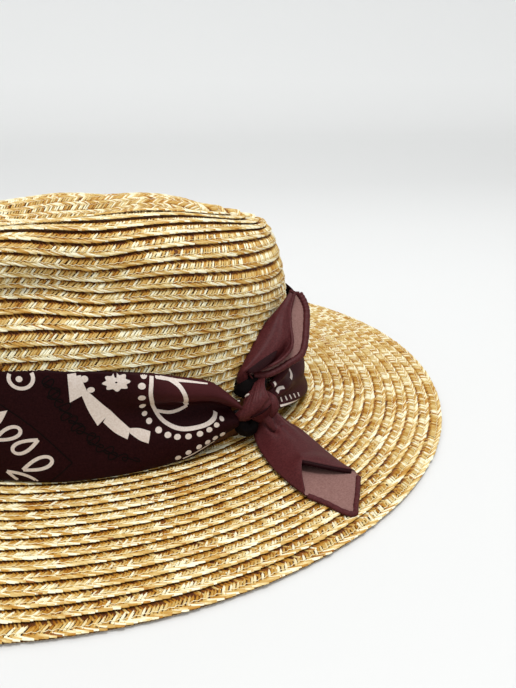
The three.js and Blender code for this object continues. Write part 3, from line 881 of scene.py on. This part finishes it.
def lowerTailPiece():
    around = np.linspace(0, 2, lowerTail["around"], endpoint=False)[:, None]
    top = np.clip(around, 0, 1)
    leftEnd = mix(lowerTail["leftEnd"], lowerTail["creaseEnd"], np.clip((around - 0.06) / 0.40, 0, 1) ** 0.8)
    rightEnd = mix(lowerTail["creaseEnd"], lowerTail["rightEnd"], np.clip((around - 0.46) / 0.54, 0, 1))
    flapEnd = np.where(around < lowerTail["crease"], leftEnd, rightEnd)
    end = np.where(around > 1, 1.0, flapEnd)
    along = np.linspace(0, 1, lowerTail["along"])[None, :] * end
    points = lowerTailPoint(around + 0 * along, along)
    underneath = np.clip(2 - around[:, 0], 0, 1) * (len(lowerTailEnd) - 1)
    reach = tableCurve([[row] for row in lowerTailEnd], underneath)[:, 0]
    reach = np.where(around[:, 0] > 1, reach, np.where(around[:, 0] < 0.02, 1.0, 0.0))
    # the lower layer runs past the upper one to a hem that comes to a corner
    stretch = rising(along, *lowerTail["stretchFrom"]) * reach[:, None]
    points = points + stretch[..., None] * lowerTail["stretchTo"]
    dimple = 0
    for depth, place, spread, placeAlong, spreadAlong in lowerTail["dimples"]:
        off = ((around - place) / spread) ** 2 + ((along - placeAlong) / spreadAlong) ** 2
        dimple = dimple + depth * np.exp(-off)
    wrinkle = lowerTail["wrinkle"] * np.sin(around * 24 + along * 6)
    wrinkle = wrinkle * falling(along, *lowerTail["wrinkleTo"]) * (around < 1)
    lift = lowerTail["lift"] * rising(along, *lowerTail["liftFrom"]) * np.sin(math.pi * top) ** 0.7
    points[..., 2] = points[..., 2] - dimple * (around < 1) + wrinkle + lift * (around < 1)
    piece = clothPiece("scarfTailLower", points[::-1], lowerTail["thick"], closed=True,
                       replaced=["scarf_tail_lower"])
    # the hems run along the end of the upper layer, right of its crease, and of the lower layer
    hemRow = points[:, -1]
    return piece, hemRow[21:47], hemRow[49:95]


# The upper tail stands against the crown, folded along its left side, its back layer showing at the right.
upperTailRows = [
    # left fold, edge of the front layer, edge of the back layer
    ((66.6, -63.2, 26.5), (74.0, -62.2, 28.5), (74.4, -61.9, 28.4)),
    ((65.6, -63.2, 32.4), (71.6, -62.6, 33.6), (72.6, -63.0, 33.0)),
    ((69.0, -59.2, 37.2), (77.2, -62.1, 34.5), (80.6, -63.2, 33.6)),
    ((73.8, -53.9, 43.2), (86.8, -59.8, 37.6), (89.2, -61.0, 36.6)),
    ((78.6, -49.2, 48.8), (92.0, -56.0, 42.2), (97.2, -57.4, 40.8)),
    ((83.9, -45.6, 53.0), (92.8, -48.7, 50.0), (101.4, -46.2, 53.0)),
    ((89.0, -42.4, 56.8), (93.8, -44.0, 55.2), (101.4, -41.6, 58.2)),
    ((95.2, -38.0, 62.4), (96.8, -39.0, 61.6), (99.4, -38.6, 62.2)),
]
upperTail = {
    "around": 84, "along": 84, "thick": 0.55, "toward": np.array([-0.1, -0.72, 0.68]),
    "rounding": 1.1, "roundOver": 0.10, "backRounding": 1.3,
    "bulge": 4.0, "fullFrom": (0.0, 0.2), "fullTo": (1.0, 0.35),
    "pocket": -4.0, "pocketAt": 0.84, "pocketSpread": 0.10, "pocketTo": (0.62, 0.15),
    "lip": 1.8, "lipAt": (0.93, 0.07), "lipTo": (0.75, 0.2), "ripple": 0.35,
}


def upperTailPiece():
    rows = np.array(upperTailRows)
    along = np.linspace(0, 1, upperTail["along"])[None, :]
    place = along * (len(rows) - 1)
    around = np.linspace(-1, 1, upperTail["around"])[:, None]
    left, front, back = (tableCurve(rows[:, k], place + 0 * around) for k in range(3))
    share = np.abs(around)[..., None]
    points = np.where(around[..., None] > 0, mix(left, front, share), mix(left, back, share))
    rounding = upperTail["rounding"] * np.sqrt(np.clip(np.abs(around) / upperTail["roundOver"], 0, 1))
    full = rising(along, *upperTail["fullFrom"]) * falling(along, *upperTail["fullTo"])
    bulge = upperTail["bulge"] * np.clip(np.sin(math.pi * np.clip(around, 0, 1) ** 0.9), 0, 1) ** 0.8
    pocket = upperTail["pocket"] * np.exp(-((around - upperTail["pocketAt"]) / upperTail["pocketSpread"]) ** 2)
    pocket = pocket * falling(along, *upperTail["pocketTo"])
    lip = upperTail["lip"] * rising(around, *upperTail["lipAt"]) * falling(along, *upperTail["lipTo"])
    ripple = upperTail["ripple"] * np.sin(around * 17 + along * 4) * np.clip(around, 0, 1)
    forward = np.where(around > 0, rounding + full * (bulge + pocket + ripple) + lip,
                       -rounding * upperTail["backRounding"])
    points = points + forward[..., None] * upperTail["toward"]
    piece = clothPiece("scarfTailUpper", points, upperTail["thick"], replaced=["scarf_tail_upper"])
    # a dark strip laid above the rolled hem, painted shade for the hollow where the cloth turns back under
    # itself
    hollow = points[72, 11:39] + 1.7 * upperTail["toward"]
    share = np.linspace(0, 1, len(hollow))
    rollPiece("scarfTailHollowShade", hollow, 0.4 + 4.8 * np.sin(math.pi * share) ** 0.9, flat=0.12,
              facing=upperTail["toward"], material=scarfShadedSatin)
    return piece, points[-1, 14:], points[0, 14:], points[::-1, -1]


# the knot, drawn from its own middle
knotFrame = {"centre": np.array([75.0, -70.5, 20.5]), "right": np.array([0.985, -0.174, 0.0]),
             "up": np.array([0.072, 0.409, 0.910]), "out": np.array([-0.158, -0.896, 0.415])}
# tables of right, up and out from the middle of the knot, then a width
knotTables = {
    "scarfKnotBack": [(-12.2, 9.6, -2.2, 4.4), (-9.0, 8.8, -0.6, 8.0), (-5.2, 8.7, -0.7, 10.6),
                      (-1.5, 9.2, -2.2, 10.0), (2.0, 8.5, -4.0, 8)],
    "scarfKnot": [(-1, 9, -3.5, 5), (-1.5, 6, -0.5, 9), (-1.4, 1, 1.5, 13.0), (0.2, -2.6, -1.0, 10),
                  (1.8, -5.4, -3.4, 6.4)],
    # the strand drawn over the front of the knot, narrow where it comes out and wide where it tucks under
    "scarfKnotWrap": [(-0.4, 13.2, -3.5, 5.0), (-1.0, 11.4, 0.0, 5.4), (-1.8, 8.8, 3.2, 7.0),
                      (-2.6, 5.8, 5.6, 10.4), (-3.4, 2.3, 7.1, 14.8), (-3.8, -0.8, 7.0, 16.6),
                      (-4.0, -3.2, 5.4, 16.6), (-3.9, -4.4, 2.4, 15.6), (-3.4, -3.8, -0.8, 12.6)],
    "scarfKnotStrand": [(1.6, 6.6, -2.6, 2.4), (3.6, 5.0, -0.9, 3.6), (5.4, 2.8, 0.4, 4.6),
                        (6.0, 0.2, 0.7, 4.4), (5.4, -2.4, 0.0, 3.4), (4.2, -4.6, -1.6, 2.4)],
    "scarfKnotUnder": [(-10.8, -1.8, -2.5, 4.6), (-9.8, -5.6, -1.4, 6.6), (-7.4, -9.0, -1.6, 7.6),
                       (-4.6, -9.4, -2.4, 6.8), (-2.4, -6.4, -2.6, 4.0)],
    "scarfKnotFold": [(0.9, -2.2, -0.4, 4.4), (2.6, -4.8, -0.9, 4.2), (4.6, -7.6, -1.1, 3.2),
                      (6.4, -10.6, -1.5, 1.2)],
    # a thin dark strip, painted shadow along the crease under the strand's lower edge
    "scarfKnotCreaseShadow": [(-6.4, -4.6, 3.4, 0.3), (-3.6, -3.5, 6.2, 0.9), (-0.4, -2.0, 7.2, 1.1),
                        (2.4, -0.2, 6.9, 0.9), (4.6, 1.6, 5.6, 0.3)],
    "scarfKnotMarkHigh": [(-6.9, 4.9, 3.6, 0.5), (-5.9, 5.8, 4.4, 0.9), (-5.0, 6.4, 4.6, 0.5)],
    "scarfKnotMarkLow": [(-10.6, 2.6, 0.6, 0.5), (-9.9, 2.9, 1.4, 0.9), (-9.2, 3.1, 2.0, 0.5)],
}
knotWrapCloth = {"along": 60, "across": 44, "leanDegrees": 25, "curl": 0.42, "curlPower": 2.6,
                 "fullness": 0.97, "thick": 0.9, "strands": 0.17, "strandsTo": (0.8, 0.5), "threads": 0.08}


def knotPoints(name, steps):
    rows = curveLine(knotTables[name], steps)
    place = (knotFrame["centre"] + rows[:, :1] * knotFrame["right"] + rows[:, 1:2] * knotFrame["up"]
             + rows[:, 2:3] * knotFrame["out"])
    return place, rows[:, 3]


def knotWrap():
    path, width = knotPoints("scarfKnotWrap", knotWrapCloth["along"])
    t = np.linspace(0, 1, knotWrapCloth["along"])[None, :]
    w = np.linspace(-1, 1, knotWrapCloth["across"])[:, None]
    lean = math.radians(knotWrapCloth["leanDegrees"])
    wide = knotFrame["right"] * math.cos(lean) + knotFrame["up"] * math.sin(lean)
    normal = unit(np.cross(np.gradient(path, axis=0), wide))
    normal = normal * np.sign(normal @ knotFrame["out"] + 0.35)[:, None]
    half = width[None, :] / 2
    curl = -(knotWrapCloth["curl"] * half) * np.abs(w) ** knotWrapCloth["curlPower"]
    strands = knotWrapCloth["strands"] * np.sin(w * 8 + 0.6) * falling(t, *knotWrapCloth["strandsTo"])
    strands = strands + knotWrapCloth["threads"] * np.sin(w * 21 + t * 5)
    points = (path[None] + wide * (w * half * knotWrapCloth["fullness"])[..., None]
              + normal[None] * (curl + strands)[..., None])
    return clothPiece("scarfKnotWrap", points[::-1], knotWrapCloth["thick"])


def knotRoll(name, steps, flat, ripple=0.0, material=None, replaced=()):
    path, width = knotPoints(name, steps)
    rollPiece(name, path, width, flat, knotFrame["out"], ripple, material, replaced)


def knotPieces():
    # painted shade: the knot's back in the black ink
    knotRoll("scarfKnotBack", 30, 0.3, ripple=0.05, material=scarfInkAndShade)
    knotRoll("scarfKnot", 30, 0.62, ripple=0.03, replaced=["scarf_knot"])
    wrap = knotWrap()
    knotRoll("scarfKnotStrand", 34, 0.6, ripple=0.05)
    # painted shade: the under-fold in the black ink
    knotRoll("scarfKnotUnder", 30, 0.75, ripple=0.05, material=scarfInkAndShade)
    knotRoll("scarfKnotFold", 26, 0.42, ripple=0.03)
    # painted shadow: a dark strip laid along the crease under the wrap
    knotRoll("scarfKnotCreaseShadow", 24, 0.5, material=scarfShadedSatin)
    knotRoll("scarfKnotMarkHigh", 8, 0.5, material=scarfPrint)
    knotRoll("scarfKnotMarkLow", 8, 0.5, material=scarfPrint)
    return wrap


def hemPiece(name, line, radius, material=None):
    path = curveLine(line, len(line) * 2)
    steps = np.arange(len(path))
    width = 2 * radius * (1 + 0.05 * np.sin(steps * 0.9) + 0.04 * np.sin(steps * 2.3))
    return rollPiece(name, path, width, flat=0.85, facing=(0.1, -0.7, 0.7), ripple=0.04, material=material)


# how much of each spiral is laid, in turns from where its angle is counted
turns = {"brimFirst": 13.6, "brimMiddle": 5.2, "crownFirst": 19.9, "crownMiddle": 6.0, "crownLast": 7.0}
# how far the rows run on behind the scarf, and the height of its upper edge at the knot
bandCover = {"down": 9.0, "atKnot": 25.0}


def aboveBand(theta):
    # the crown's rows are laid down to just below the scarf band's upper edge
    knotFar = bandStations[-1][0]
    angle = knotFar + np.mod(np.degrees(theta) - knotFar, 360)
    high = np.where(angle > bandStations[0][0], bandCover["atKnot"], bandRow(angle)[1])
    height = crown["baseZ"] + (crown["seam"] + 0.5 - (theta + math.pi / 2) / fullTurn) * crown["rowPitch"]
    return height > high - bandCover["down"]


crownShell()
brimShell()
brimFirst = brim["seamAt"] - fullTurn * turns["brimFirst"]
brimMiddle = brim["seamAt"] - fullTurn * turns["brimMiddle"]
brimLast = brim["braidEnd"] + fullTurn
crownFirst = -math.pi / 2 - fullTurn * turns["crownFirst"]
crownMiddle = -math.pi / 2 - fullTurn * turns["crownMiddle"]
crownLast = -math.pi / 2 + fullTurn * turns["crownLast"]
braidPiece("brimBraidInner", brimRow, brimFirst, brimMiddle, brimLay)
braidPiece("brimBraidOuter", brimRow, brimMiddle, brimLast, brimLay)
braidPiece("crownBraidTop", crownRow, crownFirst, crownMiddle, crownTopLay)
braidPiece("crownBraidSide", crownRow, crownMiddle, crownLast, crownSideLay, aboveBand)

band = bandPiece()
prints = printPieces()
wrap = knotPieces()
lower, lowerFlap, lowerHem = lowerTailPiece()
# the upper layer's hem sits under its edge in the dark satin, painted shade for the slit below the flap
lowerHems = [hemPiece("scarfHemLowerFlap", lowerFlap + np.array([0.0, -0.5, -0.7]), 1.0, scarfShadedSatin),
             hemPiece("scarfHemLower", lowerHem, 1.1)]
upper, upperFront, upperBack, upperTop = upperTailPiece()
upperHems = [hemPiece("scarfHemUpperFront", upperFront, 0.75), hemPiece("scarfHemUpperBack", upperBack, 1.6),
             hemPiece("scarfHemUpperTop", upperTop, 0.9)]


# floor, light and camera
def floorMaterial():
    # a little paler towards the back, so that the sweep behind the hat stays even
    look = {"roughness": 0.7, "near": -0.5, "far": 2.3}
    greys = [(0.12, 0.67), (0.23, 0.73), (0.29, 0.745), (0.40, 0.735), (0.54, 0.785), (0.66, 0.825),
             (0.82, 0.935)]
    stops = [(at, (grey, grey * 1.008, grey)) for at, grey in greys]
    material, nodes, shader = newMaterial("paleFloor", look["roughness"])
    place, split = addNode(nodes, "TexCoord"), addNode(nodes, "SeparateXYZ")
    depth = addNode(nodes, "MapRange", {"From Min": look["near"], "From Max": look["far"]})
    ramp = rampNode(nodes, [(0.0, (0.655, 0.66, 0.655)), *stops, (1.0, (0.96, 0.968, 0.96))])
    wire(material.node_tree, (place, "Object", split, "Vector"), (split, "Y", depth, "Value"),
         (depth, "Result", ramp, "Fac"), (ramp, "Color", shader, "Base Color"))
    return material


def floorPiece():
    # a pale floor that sweeps up into a wall far behind the hat, in metres
    wall = {"front": -3.0, "bend": 1.3, "radius": 1.0, "top": 3.2, "halfWide": 4.0}
    turn = np.linspace(0, math.pi / 2, 24)
    y = [wall["front"], *(wall["bend"] + wall["radius"] * np.sin(turn)), wall["bend"] + wall["radius"]]
    z = [0.0, *(wall["radius"] * (1 - np.cos(turn))), wall["top"]]
    points = [(x, float(a), float(b)) for a, b in zip(y, z) for x in (-wall["halfWide"], wall["halfWide"])]
    mesh = bpy.data.meshes.new("floor")
    mesh.from_pydata(points, [], gridQuads(len(y), 2)[:, ::-1].tolist())
    mesh.shade_smooth()
    mesh.materials.append(floorMaterial())
    addObject("floor", mesh)


def aim(thing, place, direction):
    thing.location = place
    thing.rotation_euler = direction.to_track_quat("-Z", "Y").to_euler()


def areaLight(name, place, target, size, power):
    data = bpy.data.lights.new(name, "AREA")
    data.shape = "DISK"
    data.size = size
    data.energy = power
    aim(addObject(name, data), place, Vector(target) - Vector(place))


def addCamera():
    view = {"lens": 31.03, "sensor": 36, "place": (0.03411, -0.29602, 0.156),
            "direction": (0.15801, 0.89614, -0.41469)}
    data = bpy.data.cameras.new("camera")
    data.lens = view["lens"]
    data.sensor_width = view["sensor"]
    data.clip_start = 0.01
    data.clip_end = 50
    camera = addObject("camera", data)
    aim(camera, view["place"], Vector(view["direction"]))
    bpy.context.scene.camera = camera


def studioSky():
    # soft light all round, brighter overhead than at the sides
    look = {"strength": 1.08, "overhead": (0.10, 0.0, 0.99), "low": (0.50, 0.51, 0.52),
            "high": (1.0, 1.0, 1.0)}
    world = bpy.data.worlds.new("studio")
    world.use_nodes = True
    nodes = world.node_tree.nodes
    sky = nodes["Background"]
    sky.inputs["Strength"].default_value = look["strength"]
    place = addNode(nodes, "TexCoord")
    height = addNode(nodes, "VectorMath", {1: look["overhead"]})
    height.operation = "DOT_PRODUCT"
    ramp = rampNode(nodes, [(0.0, look["low"]), (1.0, look["high"])])
    wire(world.node_tree, (place, "Generated", height, 0), (height, "Value", ramp, "Fac"),
         (ramp, "Color", sky, "Color"))
    bpy.context.scene.world = world


floorPiece()
studioSky()
bpy.context.scene.view_settings.view_transform = "Standard"
areaLight("keyLight", (0.12, -0.30, 1.0), (0.02, 0, 0.05), 0.35, 6)
addCamera()
